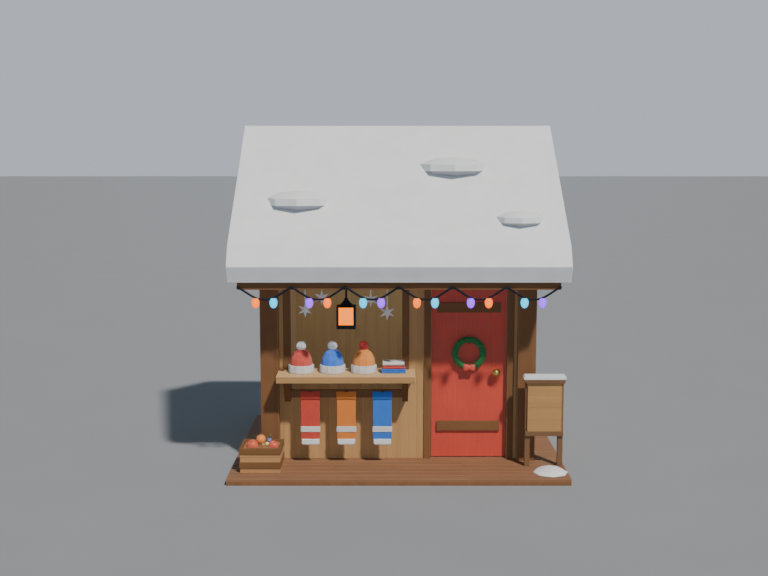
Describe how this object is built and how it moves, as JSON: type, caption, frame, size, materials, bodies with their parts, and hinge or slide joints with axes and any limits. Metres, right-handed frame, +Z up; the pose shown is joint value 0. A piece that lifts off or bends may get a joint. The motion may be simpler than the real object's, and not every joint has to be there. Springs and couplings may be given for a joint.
{
  "type": "wooden market hut",
  "caption": "Wooden market hut with a snowy gable roof, a sales window over a counter, a plank door that opens inward, a light string and winter goods.",
  "frame": {"origin": "on the ground, under the middle of the ridge", "axes": "+X to the right seen from the front, along the ridge; +Y from the front to the back; +Z up"},
  "size_m": [4, 3.774, 4.1702],
  "materials": {
    "dark_timber": "sawn and oiled",
    "deck_timber": "worn boards",
    "wall_boards": "planed boards",
    "counter_wood": "planed board",
    "red_door_wood": "painted boards",
    "snow": "packed snow",
    "red_knit": "knitted wool",
    "orange_knit": "knitted wool",
    "blue_knit": "knitted wool",
    "folded_cloth": "folded knitwear",
    "brass": "worn brass",
    "black_iron": "painted black",
    "wreath_twigs": "fir twigs",
    "cord_rubber": "dark cable",
    "bulb_glass": "lit coloured glass",
    "lantern_glass": "lit frosted glass",
    "star_metal": "dull silver",
    "crate_wood": "rough slats",
    "wood_wool": "loose shavings",
    "fruit": "fruit skin",
    "sign_wood": "oiled boards"
  },
  "bodies": {
    "hut": {"deck_frame": "deck_timber", "deck_floor": "deck_timber", "corner_posts": "dark_timber", "front_wall_uprights": "wall_boards", "front_wall_under_window": "wall_boards", "front_wall_head": "wall_boards", "left_wall": "wall_boards", "right_wall": "wall_boards", "rear_wall": "wall_boards", "eaves_beams": "dark_timber", "ridge_board": "dark_timber", "rafters": "dark_timber", "roof_boards": "dark_timber", "fascia_boards": "dark_timber", "window_jambs": "dark_timber", "door_jambs": "dark_timber", "lintels": "dark_timber", "counter_top": "counter_wood", "counter_brackets": "dark_timber", "scarf_rail": "dark_timber", "red_scarf": "red_knit", "orange_scarf": "orange_knit", "blue_scarf": "blue_knit", "red_hat": "red_knit", "blue_hat": "blue_knit", "orange_hat": "orange_knit", "folded_textiles": "folded_cloth", "hinge_pintles": "black_iron", "roof_snow_front": "snow", "roof_snow_rear": "snow", "snow_lumps": "snow", "light_cord": "cord_rubber", "light_bulbs": "bulb_glass", "cord_hooks": "black_iron", "lantern_frame": "black_iron", "lantern_glass": "lantern_glass", "hanging_stars": "star_metal", "crate": "crate_wood", "crate_bed": "wood_wool", "crate_fruit": "fruit", "sign_stand": "sign_wood", "sign_snow": "snow", "deck_snow": "snow"},
    "door": {"door_leaf": "red_door_wood", "door_battens": "dark_timber", "door_knob": "brass", "door_straps": "black_iron", "door_wreath": "wreath_twigs"}
  },
  "joints": [
    {"name": "door_hinge", "type": "hinge", "parent": "hut", "child": "door", "pos_m": [0.4015, -0.906, 0], "axis": [0, 0, 1], "range_deg": [0, 100]}
  ]
}
